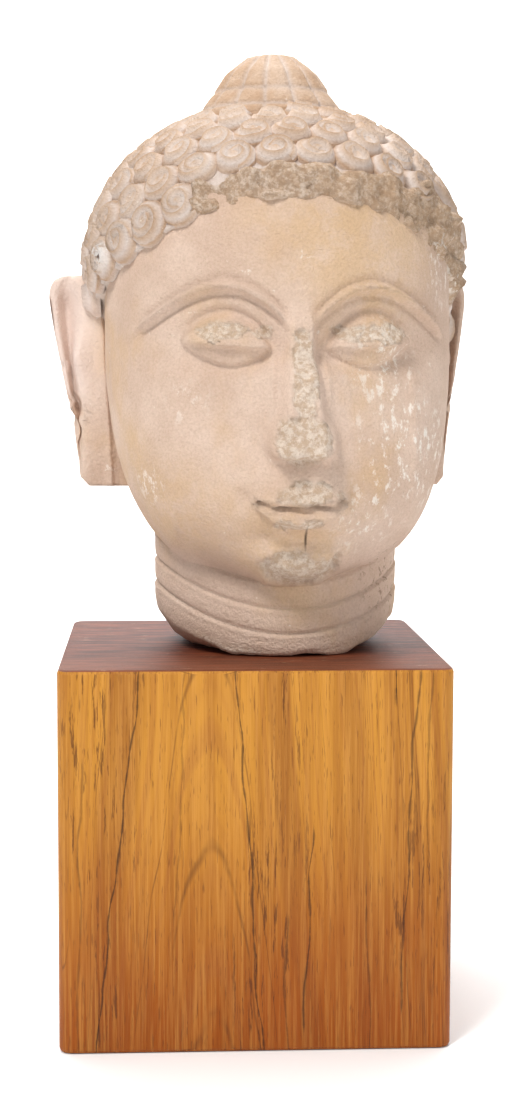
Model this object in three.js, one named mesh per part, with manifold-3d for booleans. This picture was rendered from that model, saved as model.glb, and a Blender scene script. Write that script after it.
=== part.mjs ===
// A carved sandstone head with snail curls, broken off at the neck, standing on a block of solid wood.
// Millimetres, +Z up, the face looks towards -Y, and the origin is the middle of the block's underside.
import * as THREE from "three";
import { mergeVertices } from "three/addons/utils/BufferGeometryUtils.js";
import { ConvexHull } from "three/addons/math/ConvexHull.js";
import Module from "manifold-3d";

const wasm = await Module();
wasm.setup();

// The wooden block.
const blockWidth = 200;
const blockDepth = 200;
const blockHeight = 196;
const blockCornerRadius = 5; // its four upright edges
const blockEdgeRadius = 2; // its top and bottom edges

// Where the head stands on the block, and how far it is turned to the block's right.
const headShiftX = 15.6;
const headShiftY = 10;
const headTurn = THREE.MathUtils.degToRad(4);
const restGap = 0.3;

// The head is set out in 24 equal parts from its underside to the top of its cranial knob.
const headHeight = 321.5;
const part = headHeight / 24;

// Levels of the head above its underside.
const chinLevel = 2.65 * part;
const hairlineLevel = 18.2 * part;
const third = (hairlineLevel - chinLevel) / 3; // brow to hairline, nose to brow, chin to nose
const noseBaseLevel = chinLevel + third;
const browLevel = chinLevel + 2 * third;
const mouthLevel = noseBaseLevel - third / 3;
const crownLevel = 21.9 * part;
const eyeLevel = (chinLevel + crownLevel) / 2 - 0.25 * part;
const widestLevel = 13.4 * part;

// The egg of the face: half width, and how far it reaches forward, back, up and down from its middle.
const face = {
  centre: [0, 0, widestLevel],
  width: 7 * part,
  front: 7.15 * part,
  back: 6.2 * part,
  up: 7.6 * part,
  down: widestLevel - chinLevel,
  roundness: 2.2, // of a level section
  fullness: 2.7, // of the upright section, for full cheeks and jaw
};
const faceColumns = 44;
const faceRows = 30;
const jawLean = 2.5 * part; // how far the chin stands forward of the face's middle
const eyeWidth = (2 * face.width) / 5; // a face is five eyes wide
const eyeX = eyeWidth;
const browStart = 0.5 * part;
const browEnd = 6.1 * part;
const browRise = 1.55 * part;

// The skull under the curls, leaning back, and the hair edge as an angle from its leaning pole.
const skull = {
  centre: [0, 0.3 * part, 15.4 * part],
  width: 7.44 * part,
  depth: 7.6 * part,
  up: 6.2 * part,
  down: 12.4 * part,
};
const hairLean = THREE.MathUtils.degToRad(30);
const hairEdgeMean = THREE.MathUtils.degToRad(100.8);
const hairEdgeFront = THREE.MathUtils.degToRad(4.5); // lower over the brow than at the nape
const hairEdgeSide = THREE.MathUtils.degToRad(6.2); // and lower still at the temples
const hairEdgeEar = THREE.MathUtils.degToRad(9); // but cut away above the ears
const hairDepth = 0.65 * part; // how far the hair stands proud of the skin

// Snail curls, in rows that follow the hair edge and grow smaller towards the crown.
const firstPitch = 1.56 * part;
const lastPitch = 1.2 * part;
const curlRows = 12;
const rowShare = 0.9; // distance between rows, over the distance between curls
const curlHeight = 0.5 * part;
const curlTopShare = 0.62; // of a curl's half width, where its shoulder is
const curlShoulder = 0.72; // of its height
const plainBehind = 0.5; // curls further back than this share of the skull are plain cones
const breakStart = -0.42; // where the broken stretch of the front row starts, as a share across the skull
const upperBreakStart = 0.8; // where that of the row above it starts
const breakEnd = 0.97; // where both end

// The cranial knob, with long blocked-out locks for facets.
const knobShiftX = -0.15 * part;
const knobShiftY = 0.5 * part;
const knobRadius = 3 * part;
const knobLocks = 14;

// The neck, and its folds, which dip towards the front.
const neckWidth = 4.9 * part;
const neckDepth = 5 * part;
const neckTop = 7.5 * part;
const foldDip = 1.8 * part; // how much lower a fold is in front than at the sides
const foldLevels = [0, 0.88 * part, 1.86 * part, 2.9 * part]; // in front
const foldBulge = 0.07 * part;
const stumpShare = 0.72; // of the neck's radius that touches the block
const stumpEdge = { share: 0.88, rise: 0.32 }; // where the underside turns up, and how far it has risen
const rimDrop = 0.3 * part; // of the broken rim below the lowest fold

// The ears, with long lobes.
const earTop = 15.0 * part;
const earBottom = 6.4 * part;
const wholeEar = { rimX: 9.3 * part, lobeX: 7.95 * part, stripX: 7.9 * part };
const chippedEar = { rimX: 8.35 * part, lobeX: 7.4 * part, stripX: 7.2 * part }; // its rim is broken away
const earRootX = 5.8 * part;
const earStripY = 0.5 * part;
const earRimY = 1.35 * part;
const earHollow = 0.7 * part;

const clamp01 = (t) => Math.min(1, Math.max(0, t));
const mix = (a, b, t) => a + (b - a) * t;
const hump = (distance, width) => Math.exp(-((distance / width) ** 2));

// Rises from 0 to 1 as t goes from start to end.
function rise(start, end, t) {
  const s = clamp01((t - start) / (end - start));
  return s * s * (3 - 2 * s);
}

// A three.js geometry as a solid for joining and cutting.
function solidOf(geometry) {
  const bare = geometry.clone();
  bare.deleteAttribute("normal");
  bare.deleteAttribute("uv");
  const merged = mergeVertices(bare, 1e-3);
  return new wasm.Manifold(
    new wasm.Mesh({
      numProp: 3,
      vertProperties: new Float32Array(merged.attributes.position.array),
      triVerts: new Uint32Array(merged.index.array),
    }),
  );
}

// A solid as a three.js geometry.
function geometryOf(solid) {
  const mesh = solid.getMesh();
  const points = new Float32Array(mesh.numVert * 3);
  for (let i = 0; i < mesh.numVert; i++) {
    const from = i * mesh.numProp;
    points.set(mesh.vertProperties.subarray(from, from + 3), i * 3);
  }
  const geometry = new THREE.BufferGeometry();
  geometry.setAttribute("position", new THREE.BufferAttribute(points, 3));
  geometry.setIndex(new THREE.BufferAttribute(new Uint32Array(mesh.triVerts), 1));
  geometry.computeVertexNormals();
  return geometry;
}

// A sphere's net of columns and rows, drawn over the closed skin that pointAt(turn, fall) gives.
// Both run from 0 to 1: turn round the skin from the back, and fall from its upper pole to its lower one.
function skin(columns, rows, pointAt) {
  const geometry = new THREE.SphereGeometry(1, columns, rows);
  const { position, uv } = geometry.attributes;
  for (let i = 0; i < position.count; i++) {
    const turn = uv.getX(i) % 1;
    const fall = 1 - uv.getY(i);
    const poled = fall < 1e-6 || fall > 1 - 1e-6;
    position.setXYZ(i, ...pointAt(poled ? 0 : turn, fall));
  }
  return solidOf(geometry);
}

// The point of an egg in a direction from its middle: azimuth 0 is the front, and polar 0 is straight up.
function eggPoint(egg, azimuth, polar) {
  const x = Math.sin(azimuth) * Math.sin(polar);
  const y = -Math.cos(azimuth) * Math.sin(polar);
  const z = Math.cos(polar);
  const { width, roundness, fullness } = egg;
  const depth = y < 0 ? egg.front : egg.back;
  const height = z > 0 ? egg.up : egg.down;
  const level = Math.abs(x / width) ** roundness + Math.abs(y / depth) ** roundness;
  const upright = Math.abs(z / height) ** fullness;
  const reach = (level ** (fullness / roundness) + upright) ** (-1 / fullness);
  return [x * reach, y * reach, z * reach];
}

// Height of the brow's arch above the underside, at x across the face.
function browArch(x) {
  const along = clamp01((Math.abs(x) - browStart) / (browEnd - browStart));
  return browLevel - mix(0.2, 0.5, along) * part + browRise * Math.sin(Math.PI * along ** 0.85);
}

// How far the face stands out of its egg at x across and z up: sockets, cheeks, mouth mound and chin.
function faceRelief(x, z) {
  const side = Math.abs(x);
  const across = side / part;
  const overEye = rise(eyeLevel - 1.3 * part, eyeLevel - 0.3 * part, z);
  const socketDepth = mix(0.34, 0.14, rise(0.9, 4.4, across)) * part;
  const socketSide = 1 - rise(5, 6.2, across);
  let height = -socketDepth * rise(-0.4 * part, 1.6 * part, browArch(x) - z) * overEye * socketSide;
  height += 0.2 * part * hump(across - 3.7, 2) * hump((z - noseBaseLevel) / part, 2.4);
  height += 0.36 * part * hump(across, 2.5) * hump((z - mouthLevel) / part, 1.7);
  height -= 0.34 * part * hump(across, 1.5) * hump((z - mouthLevel) / part + 1.4, 0.4);
  height += 0.55 * part * hump(across, 1.6) * hump((z - mouthLevel) / part + 2.45, 0.75);
  return height;
}

// The face's surface at x across and z up, moved out by a height.
function onFace(x, z, height) {
  const up = z - face.centre[2];
  const { front, width, roundness, fullness } = face;
  const upright = Math.abs(up / (up > 0 ? face.up : face.down)) ** fullness;
  const level = clamp01(1 - upright) ** (roundness / fullness);
  const y = -front * clamp01(level - Math.abs(x / width) ** roundness) ** (1 / roundness);
  const outward = new THREE.Vector3(x / width ** 2, y / front ** 2, up / (1.3 * face.down) ** 2);
  const down = Math.max(0, -up / face.down);
  outward.normalize().multiplyScalar(height + faceRelief(x, z));
  return outward.add(new THREE.Vector3(x, y - jawLean * down ** 1.6, z));
}

// Closer columns in front, where the carving is, than behind.
function frontFirst(turn) {
  const fromFront = 2 * (turn - 0.5);
  return Math.PI * (0.5 * fromFront + 0.5 * fromFront ** 5);
}

// A point of the face's egg, with the relief on its front half.
function facePoint(turn, fall) {
  const [x, y, z] = eggPoint(face, frontFirst(turn), Math.PI * fall);
  const level = z + face.centre[2];
  if (y < -0.15 * face.front) return onFace(x, level, 0).toArray();
  return [x, y - jawLean * Math.max(0, -z / face.down) ** 1.6, level];
}

// A pad on the face, inside an outline that runs anticlockwise as seen from the front.
// The share is 0 in the pad's middle and 1 on its outline.
function buildPad(columns, middle, outlineAt, heightAt) {
  const rows = 6;
  return skin(columns, rows, (turn, fall) => {
    const share = Math.sin(Math.PI * fall);
    const [edgeX, edgeZ] = outlineAt(2 * Math.PI * turn);
    const x = mix(middle[0], edgeX, share);
    const z = mix(middle[1], edgeZ, share);
    if (fall > 0.51) return onFace(x, z, -0.6 * part).toArray();
    return onFace(x, z, share > 0.99 ? -0.23 * part : heightAt(share, x, z)).toArray();
  });
}

// The two eyes, closed almonds that bulge under the brow.
function buildEye(side) {
  const middle = [side * eyeX, eyeLevel];
  const outline = (a) => [
    middle[0] + 0.58 * eyeWidth * Math.cos(a),
    middle[1] + side * 0.12 * part * Math.cos(a) + (a < Math.PI ? 0.95 : -0.75) * part * Math.sin(a) ** 2,
  ];
  const height = (share, x, z) => {
    const slit = rise(0.12 * part, -0.25 * part, z - eyeLevel + 0.35 * part);
    return 0.62 * part * Math.sqrt(1 - 0.9 * share ** 2) - 0.16 * part * slit;
  };
  return buildPad(14, middle, outline, height);
}

// A brow, as a thin raised band on its arch.
function buildBrow(side) {
  const at = (s) => side * mix(browStart, browEnd, side > 0 ? s : 1 - s);
  const outline = (a) => {
    const x = at((1 + Math.cos(a)) / 2);
    return [x, browArch(x) + 0.16 * part * Math.sin(a)];
  };
  const rows = 4;
  return skin(18, rows, (turn, fall) => {
    const a = 2 * Math.PI * turn;
    const [x, edge] = outline(a);
    const z = mix(browArch(x), edge, Math.sin(Math.PI * fall));
    return onFace(x, z, (fall > 0.49 ? -0.6 : 0.26) * part).toArray();
  });
}

// The nose, whose ridge and tip are broken off along a nearly flat face.
function buildNose() {
  const rows = 9;
  const section = [[0, -0.6], [-1, -0.6], [-0.5, 1], [-0.15, 1.12], [0.3, 1.06], [0.55, 0.94], [1, -0.6]];
  return skin(section.length, rows, (turn, fall) => {
    const z = mix(browLevel + 0.5 * part, noseBaseLevel, clamp01((fall - 1 / rows) / (1 - 2 / rows)));
    const down = clamp01((browLevel + 0.5 * part - z) / (browLevel + 0.5 * part - noseBaseLevel));
    const half = (mix(0.5, 0.95, down) + 0.45 * hump(down - 0.88, 0.14)) * part;
    const ridge = Math.min(mix(0.3, 1.3, down), 0.85) * part;
    if (fall < 1e-6 || fall > 1 - 1e-6) return onFace(0, z, 0).toArray();
    const [across, height] = section[Math.round(turn * section.length) % section.length];
    return onFace(across * half, z, height > 0 ? height * ridge : height * part).toArray();
  });
}

// A lip between the mouth line and its own edge, above or below it.
function buildLip(up, fullness) {
  const half = 2.05 * part;
  const mouthLine = (x) => mouthLevel + 0.22 * part * (x / half) ** 2;
  const outline = (a) => {
    const x = half * Math.cos(a);
    const bow = up > 0 ? 1 - 0.3 * hump(x / part, 0.35) : 1;
    const outer = Math.sin(a) * up > 0;
    return [x, mouthLine(x) + (outer ? up * 0.85 * part * bow * Math.sin(a) ** 2 : 0)];
  };
  const middle = [0, mouthLevel + 0.3 * up * part];
  return buildPad(14, middle, outline, (share) => fullness * Math.sqrt(1 - 0.85 * share ** 2));
}

function buildFace() {
  const pads = [-1, 1].flatMap((side) => [buildEye(side), buildBrow(side)]);
  pads.push(buildNose(), buildLip(1, 0.3 * part), buildLip(-1, 0.42 * part));
  return [skin(faceColumns, faceRows, facePoint), ...pads].reduce((whole, pad) => whole.add(pad));
}

// Angle of the hair edge from the leaning pole, at an azimuth round it.
function hairEdge(azimuth) {
  const around = hairEdgeMean + hairEdgeFront * Math.cos(azimuth) - hairEdgeSide * Math.cos(2 * azimuth);
  return around - hairEdgeEar * Math.sin(azimuth) ** 14;
}

// A direction given by an azimuth round the skull's leaning pole and an angle from it.
function leaning(azimuth, angle) {
  return new THREE.Vector3(
    Math.sin(azimuth) * Math.sin(angle),
    -Math.cos(azimuth) * Math.sin(angle),
    Math.cos(angle),
  );
}

// The skull's surface in a leaning direction, raised by a height.
function skullPoint(direction, height) {
  const { x, y, z } = direction;
  const back = y * Math.cos(hairLean) + z * Math.sin(hairLean);
  const up = z * Math.cos(hairLean) - y * Math.sin(hairLean);
  return new THREE.Vector3(
    skull.centre[0] + x * (skull.width + height),
    skull.centre[1] + back * (skull.depth + height),
    skull.centre[2] + up * ((up > 0 ? skull.up : skull.down) + height),
  );
}

// Directions of the curls in the row that runs a distance above the hair edge.
function curlRow(distance, pitch, shift) {
  const samples = 120;
  const step = THREE.MathUtils.degToRad(0.5);
  const path = [];
  for (let i = 0; i <= samples; i++) {
    const azimuth = 2 * Math.PI * (i / samples - 0.5);
    let angle = hairEdge(azimuth);
    let climbed = 0;
    let point = skullPoint(leaning(azimuth, angle), 0);
    while (climbed < distance && angle > step) {
      angle -= step;
      const next = skullPoint(leaning(azimuth, angle), 0);
      climbed += next.distanceTo(point);
      point = next;
    }
    if (climbed < distance) return [];
    path.push({ angle, point, along: i ? path[i - 1].along + point.distanceTo(path[i - 1].point) : 0 });
  }
  const total = path[samples].along;
  const count = Math.round(total / pitch);
  const found = [];
  for (let k = 0; k < count; k++) {
    const along = ((k + shift) / count) * total;
    const i = path.findIndex((place) => place.along > along);
    const t = (along - path[i - 1].along) / (path[i].along - path[i - 1].along);
    const azimuth = 2 * Math.PI * ((i - 1 + t) / samples - 0.5);
    found.push(leaning(azimuth, mix(path[i - 1].angle, path[i].angle, t)));
  }
  return found;
}

// Every curl of the hair. A stretch of the two front rows is broken off, over the brow and the left temple.
function placeCurls() {
  const places = [];
  let distance = 0;
  for (let row = 0; row < curlRows; row++) {
    const pitch = mix(firstPitch, lastPitch, Math.min(1, row / 6));
    distance += rowShare * pitch;
    curlRow(distance - 0.5 * rowShare * pitch, pitch, row % 2 ? 0.5 : 0).forEach((direction, i) => {
      const start = [breakStart, upperBreakStart][row] ?? Infinity;
      const broken = direction.y < 0 && direction.x > start && direction.x < breakEnd;
      const stub = (0.2 + 0.12 * Math.sin(2.4 * i)) * part; // what is left of a broken curl
      places.push({ direction, kind: broken ? "broken" : "curl", height: broken ? stub : curlHeight });
    });
  }
  return places;
}

// Points of the bare skull below the hair, from its edge to its lower pole.
function placeBare() {
  const bare = [{ direction: leaning(0, Math.PI), kind: "bare", height: -hairDepth }];
  const columns = 28;
  for (const share of [0.07, 0.4]) {
    for (let i = 0; i < columns; i++) {
      const azimuth = (2 * Math.PI * i) / columns;
      const direction = leaning(azimuth, mix(hairEdge(azimuth), Math.PI, share));
      bare.push({ direction, kind: "bare", height: -hairDepth });
    }
  }
  return bare;
}

// The height where three places meet: the groove between curls, or the skin at the hair's edge.
function cornerHeight(kinds) {
  return kinds.includes("bare") ? -hairDepth : 0;
}

// The skull and its curls as one skin: each curl is a dome on a cell of its own, close to its neighbours.
function buildHair() {
  const places = new Map([...placeCurls(), ...placeBare()].map((place) => [place.direction, place]));
  const hull = new ConvexHull().setFromPoints([...places.keys()]);
  const corners = new Map();
  for (const cell of hull.faces) {
    const around = [0, 1, 2].map((i) => cell.getEdge(i).head().point);
    const direction = around[0].clone().add(around[1]).add(around[2]).normalize();
    corners.set(cell, { direction, height: cornerHeight(around.map((point) => places.get(point).kind)) });
  }
  const triangles = [];
  for (const cell of hull.faces) {
    for (const edge of [0, 1, 2].map((i) => cell.getEdge(i))) {
      const { direction, kind, height } = places.get(edge.tail().point);
      const pair = [edge.twin.face, cell].map((face) => corners.get(face));
      const top = skullPoint(direction, height);
      const outer = pair.map((corner) => skullPoint(corner.direction, corner.height));
      if (kind !== "curl" || direction.y > plainBehind) {
        triangles.push(top, ...outer);
        continue;
      }
      const inner = pair.map((corner) => {
        const shoulder = direction.clone().lerp(corner.direction, curlTopShare).normalize();
        return skullPoint(shoulder, curlShoulder * height);
      });
      triangles.push(top, ...inner, inner[0], outer[0], inner[1], outer[0], outer[1], inner[1]);
    }
  }
  return solidOf(new THREE.BufferGeometry().setFromPoints(triangles));
}

// The cranial knob, a low bell with one facet to each lock.
function buildKnob() {
  const base = crownLevel - 1.6 * part;
  const profile = [
    [0, base],
    [1.02 * knobRadius, base],
    [knobRadius, crownLevel - 0.45 * part],
    [0.8 * knobRadius, crownLevel + 0.35 * part],
    [0.62 * knobRadius, crownLevel + 1.2 * part],
    [0.33 * knobRadius, headHeight - 0.2 * part],
    [0, headHeight],
  ].map(([r, h]) => new THREE.Vector2(r, h));
  const geometry = new THREE.LatheGeometry(profile, knobLocks);
  geometry.rotateX(Math.PI / 2);
  geometry.translate(knobShiftX, knobShiftY, 0);
  return solidOf(geometry);
}

// How far a fold of the neck has climbed from the front, at an angle from it.
function foldLift(azimuth) {
  return foldDip * (0.72 * Math.sin(azimuth) ** 2 + 0.2 * (1 - Math.cos(azimuth)));
}

// How far the neck bulges at a level between one fold and the next.
function foldSwell(level) {
  for (let i = 1; i < foldLevels.length; i++) {
    if (level < foldLevels[i]) {
      const t = (level - foldLevels[i - 1]) / (foldLevels[i] - foldLevels[i - 1]);
      return foldBulge * Math.sqrt(clamp01(4 * t * (1 - t)));
    }
  }
  return 0;
}

function buildNeck() {
  const steps = [0.25, 0.5, 0.75, 1];
  const rings = [
    { share: stumpShare, above: 0, rimRise: 0 },
    { share: stumpEdge.share, above: 0, rimRise: stumpEdge.rise },
    { share: 1, above: 0.02 * foldLevels[1], rimRise: 1 },
  ];
  for (let i = 1; i < foldLevels.length; i++) {
    for (const s of steps) {
      rings.push({ share: 1, above: mix(foldLevels[i - 1], foldLevels[i], s) });
    }
  }
  rings.push({ share: 1, above: neckTop - foldDip });
  const rows = rings.length + 1;
  return skin(36, rows, (turn, fall) => {
    const azimuth = 2 * Math.PI * (turn - 0.5);
    const row = rows - Math.round(fall * rows);
    if (row === 0) return [0, 0, 0];
    if (row === rows) return [0, 0, neckTop];
    const { share, above, rimRise } = rings[row - 1];
    const radius = [neckWidth, neckDepth].map((r) => share * r + foldSwell(above));
    const lift = foldLift(azimuth);
    const rim = Math.max(0, lift - rimDrop);
    const level = above + (rimRise === undefined ? lift : rimRise * rim);
    return [radius[0] * Math.sin(azimuth), -radius[1] * Math.cos(azimuth), level];
  });
}

// An ear that faces forwards: a flat strip beside the cheek, and outside it a shell with a rolled rim.
// The level section runs round from the cheek to the rim and back behind, as [x, y] from the head's axis.
function earSection({ rimX, lobeX, stripX }, level) {
  const down = (earTop - level) / (earTop - earBottom);
  const round = Math.sqrt(clamp01(1 - (1 - clamp01(down / 0.12)) ** 2));
  const reach = mix(rimX, lobeX, rise(0.02, 0.96, down) * 0.5 + 0.5 * down);
  const rim = mix(stripX, reach, mix(0.55, 1, round));
  const hollow = earHollow * rise(0, 0.16, down) * rise(0.92, 0.6, down);
  const strip = earStripY + 0.35 * part * (1 - round);
  return [
    [earRootX, strip],
    [mix(earRootX, stripX, 0.95), strip],
    [stripX + 0.06 * part, strip + 0.6 * hollow],
    [mix(stripX, rim, 0.45), earRimY + hollow],
    [mix(stripX, rim, 0.78), earRimY],
    [rim, earRimY + 0.15 * part],
    [rim, earRimY + 0.6 * part],
    [mix(stripX, rim, 0.6), earRimY + 0.75 * part + hollow],
    [stripX, earRimY + 1.3 * part],
    [earRootX, earRimY + 1.7 * part],
  ];
}

function buildEar(side, ear) {
  const rows = 16;
  const columns = earSection(ear, earTop).length;
  return skin(columns, rows, (turn, fall) => {
    const level = mix(earTop, earBottom, clamp01((fall - 1 / rows) / (1 - 2 / rows)));
    if (fall < 1e-6 || fall > 1 - 1e-6) return [side * earRootX, earRimY + 0.3 * part, level];
    const step = Math.round(turn * columns) % columns;
    const [x, y] = earSection(ear, level)[side > 0 ? step : columns - 1 - step];
    return [side * x, y, level];
  });
}

function buildHead() {
  const ears = [buildEar(-1, wholeEar), buildEar(1, chippedEar)];
  const solids = [buildFace(), buildHair(), buildNeck(), buildKnob(), ...ears];
  return solids.reduce((whole, solid) => whole.add(solid));
}

// The block: a rounded rectangle, drawn up with rounded edges.
function buildBlock() {
  const outline = new THREE.Shape();
  const w = blockWidth / 2 - blockEdgeRadius;
  const d = blockDepth / 2 - blockEdgeRadius;
  const r = blockCornerRadius;
  outline.moveTo(-w + r, -d);
  outline.lineTo(w - r, -d);
  outline.absarc(w - r, -d + r, r, -Math.PI / 2, 0);
  outline.lineTo(w, d - r);
  outline.absarc(w - r, d - r, r, 0, Math.PI / 2);
  outline.lineTo(-w + r, d);
  outline.absarc(-w + r, d - r, r, Math.PI / 2, Math.PI);
  outline.lineTo(-w, -d + r);
  outline.absarc(-w + r, -d + r, r, Math.PI, 1.5 * Math.PI);
  const geometry = new THREE.ExtrudeGeometry(outline, {
    depth: blockHeight - 2 * blockEdgeRadius,
    bevelSize: blockEdgeRadius,
    bevelThickness: blockEdgeRadius,
    bevelSegments: 2,
    curveSegments: 3,
  });
  geometry.translate(0, 0, blockEdgeRadius);
  return geometry;
}

const stone = new THREE.MeshStandardMaterial({ color: 0xcdb195, roughness: 0.9, metalness: 0 });
const wood = new THREE.MeshStandardMaterial({ color: 0xb06f2c, roughness: 0.45, metalness: 0 });

const model = new THREE.Group();
const block = new THREE.Mesh(buildBlock(), wood);
block.name = "wood_block";
model.add(block);
const head = new THREE.Mesh(geometryOf(buildHead()), stone);
head.name = "stone_head";
head.position.set(headShiftX, headShiftY, blockHeight + restGap);
head.rotation.z = headTurn;
model.add(head);

export default model;
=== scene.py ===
import math

import bpy
import numpy as np
from mathutils import Matrix, Vector


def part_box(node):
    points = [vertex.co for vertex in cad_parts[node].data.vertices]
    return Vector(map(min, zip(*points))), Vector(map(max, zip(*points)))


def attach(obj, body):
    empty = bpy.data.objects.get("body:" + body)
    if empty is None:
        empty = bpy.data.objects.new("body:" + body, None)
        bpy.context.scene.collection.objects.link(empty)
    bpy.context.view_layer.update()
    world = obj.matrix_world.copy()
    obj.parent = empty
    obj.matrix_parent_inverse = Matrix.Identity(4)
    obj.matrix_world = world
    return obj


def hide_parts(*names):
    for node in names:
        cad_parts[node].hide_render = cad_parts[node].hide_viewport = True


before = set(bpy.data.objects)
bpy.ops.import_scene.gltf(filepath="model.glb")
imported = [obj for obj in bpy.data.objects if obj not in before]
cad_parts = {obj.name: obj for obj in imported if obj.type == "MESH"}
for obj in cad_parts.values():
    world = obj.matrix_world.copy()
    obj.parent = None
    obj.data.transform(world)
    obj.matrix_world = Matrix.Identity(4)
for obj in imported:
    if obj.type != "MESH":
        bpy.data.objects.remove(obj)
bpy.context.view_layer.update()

MM = 0.001

# The head's place, in millimetres, from the frame.
HEAD_LOW, HEAD_HIGH = (np.array(corner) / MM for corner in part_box("stone_head"))
HEAD_SHIFT = np.array([15.6, 10.0, HEAD_LOW[2]])
HEAD_TURN = math.radians(4)

# The head is set out in equal parts, and P is one part. Levels and sizes of the head are in parts.
P = (HEAD_HIGH[2] - HEAD_LOW[2]) / 24
CHIN = 2.65
HAIRLINE = 18.2
THIRD = (HAIRLINE - CHIN) / 3
NOSE_BASE = CHIN + THIRD
BROW = CHIN + 2 * THIRD
MOUTH = NOSE_BASE - THIRD / 3
CROWN = 21.9
EYE = (CHIN + CROWN) / 2 - 0.25
WIDEST = 13.4
FACE_WIDTH, FACE_FRONT, FACE_BACK, FACE_UP = 7.0, 7.15, 6.2, 7.6
FACE_DOWN = WIDEST - CHIN
FACE_ROUNDNESS, FACE_FULLNESS = 2.2, 2.7
JAW_LEAN = 2.5
EYE_WIDTH = 2 * FACE_WIDTH / 5
BROW_START, BROW_END, BROW_RISE = 0.5, 6.1, 1.55
MOUTH_HALF = 2.05

# The skull under the curls leans back, and the hair edge is an angle from its leaning pole.
SKULL_CENTRE = np.array([0, 0.3, 15.4])
SKULL_WIDTH, SKULL_DEPTH, SKULL_UP, SKULL_DOWN = 7.44, 7.6, 6.2, 12.4
HAIR_LEAN = math.radians(30)
EDGE_MEAN, EDGE_FRONT = math.radians(100.8), math.radians(4.5)
EDGE_SIDE, EDGE_EAR = math.radians(6.2), math.radians(9)
HAIR_DEPTH = 0.65
FIRST_PITCH, LAST_PITCH, CURL_ROWS, ROW_SHARE = 1.56, 1.2, 12, 0.9
CURL_HEIGHT = 0.5

# Where the two front rows are broken off, on a unit sphere: from and to in x, and the furthest back in y.
FRONT_BREAK = (-0.42, 1.01, 0.12)
UPPER_BREAK = (0.8, 0.97, 0.0)

KNOB_SHIFT = np.array([-0.15, 0.5])
KNOB_RADIUS = 3.0
KNOB_LOCKS = 14
NECK_WIDTH, NECK_DEPTH, NECK_TOP = 4.9, 5.0, 7.5
FOLD_DIP = 1.8
FOLD_LEVELS = (0, 0.88, 1.86, 2.9)
FOLD_BULGE = 0.07
STUMP_SHARE = 0.72
RIM_DROP = 0.3

EAR_TOP, EAR_BOTTOM = 15.0, 6.4
EAR_ROOT, EAR_STRIP_Y, EAR_RIM_Y, EAR_HOLLOW = 5.8, 0.5, 1.35, 0.7
WHOLE_EAR = (9.3, 7.95, 7.9)
CHIPPED_EAR = (8.35, 7.4, 7.2)

# The photograph's camera: its place in metres, its directions, and its lens in millimetres.
CAMERA_PLACE = (-0.0491, -1.0285, 0.3392)
CAMERA_FORWARD = (0.0532, 0.9946, -0.0889)
CAMERA_UP = (0.0024, 0.0889, 0.9960)
CAMERA_LENS = 61.53

# Random numbers for the noise and the curls, the same in each run.
rng = np.random.default_rng(7)
HASH = rng.permutation(512)
VALUES = rng.uniform(-1, 1, 512)


def mix(a, b, t):
    return a + (b - a) * t


def rise(start, end, t):
    """Goes smoothly from 0 to 1 as t goes from start to end."""
    s = np.clip((t - start) / (end - start), 0, 1)
    return s * s * (3 - 2 * s)


def hump(distance, width):
    return np.exp(-((distance / width) ** 2))


def noise(points, size, seed=0):
    """Smooth noise from -1 to 1 with features of a size, at points in parts."""
    scaled = points / size + 100 + 17.3 * seed
    cell = np.floor(scaled).astype(int)
    t = scaled - cell
    t = t * t * (3 - 2 * t)
    total = 0
    for corner in np.ndindex(2, 2, 2):
        x, y, z = (cell + corner).T
        value = VALUES[HASH[(HASH[(HASH[x % 512] + y) % 512] + z) % 512]]
        total = total + value * np.prod(np.where(corner, t, 1 - t), axis=1)
    return total


def fractal(points, size, octaves, seed=0):
    return sum(noise(points, size / 2**k, seed + k) / 2**k for k in range(octaves))


class Skin:
    """Points and faces of a mesh in parts, with a value of each named mask at every point."""

    MASKS = ("broken", "hair", "groove")

    def __init__(self, points, faces, **masks):
        self.points = np.asarray(points, float)
        self.faces = faces
        self.masks = {name: np.zeros(len(self.points)) for name in self.MASKS}
        for name, values in masks.items():
            self.masks[name] = np.broadcast_to(values, len(self.points)).astype(float)


def closed_net(columns, rows, point_at, **masks):
    """A skin of rows between two poles, from point_at(turn, fall), both arrays from 0 to 1."""
    turn = np.tile(np.arange(columns) / columns, rows - 1)
    fall = np.repeat(np.arange(1, rows) / rows, columns)
    turn = np.concatenate([turn, [0, 0]])
    fall = np.concatenate([fall, [0, 1]])
    points = point_at(turn, fall)
    top, bottom = len(turn) - 2, len(turn) - 1
    faces = []
    for row in range(rows - 2):
        for k in range(columns):
            a, b = row * columns + k, row * columns + (k + 1) % columns
            faces.append((a, a + columns, b + columns, b))
    last = (rows - 2) * columns
    for k in range(columns):
        after = (k + 1) % columns
        faces.append((top, k, after))
        faces.append((bottom, last + after, last + k))
    return Skin(points, faces, **masks)


def egg_point(azimuth, polar):
    """A point of the face's egg: azimuth 0 is the front, and polar 0 is straight up."""
    x = np.sin(azimuth) * np.sin(polar)
    y = -np.cos(azimuth) * np.sin(polar)
    z = np.cos(polar)
    depth = np.where(y < 0, FACE_FRONT, FACE_BACK)
    height = np.where(z > 0, FACE_UP, FACE_DOWN)
    level = np.abs(x / FACE_WIDTH) ** FACE_ROUNDNESS + np.abs(y / depth) ** FACE_ROUNDNESS
    reach = level ** (FACE_FULLNESS / FACE_ROUNDNESS) + np.abs(z / height) ** FACE_FULLNESS
    reach = reach ** (-1 / FACE_FULLNESS)
    return x * reach, y * reach, z * reach


def brow_arch(side):
    along = np.clip((side - BROW_START) / (BROW_END - BROW_START), 0, 1)
    return BROW - mix(0.2, 0.5, along) + BROW_RISE * np.sin(np.pi * along**0.85)


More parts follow.
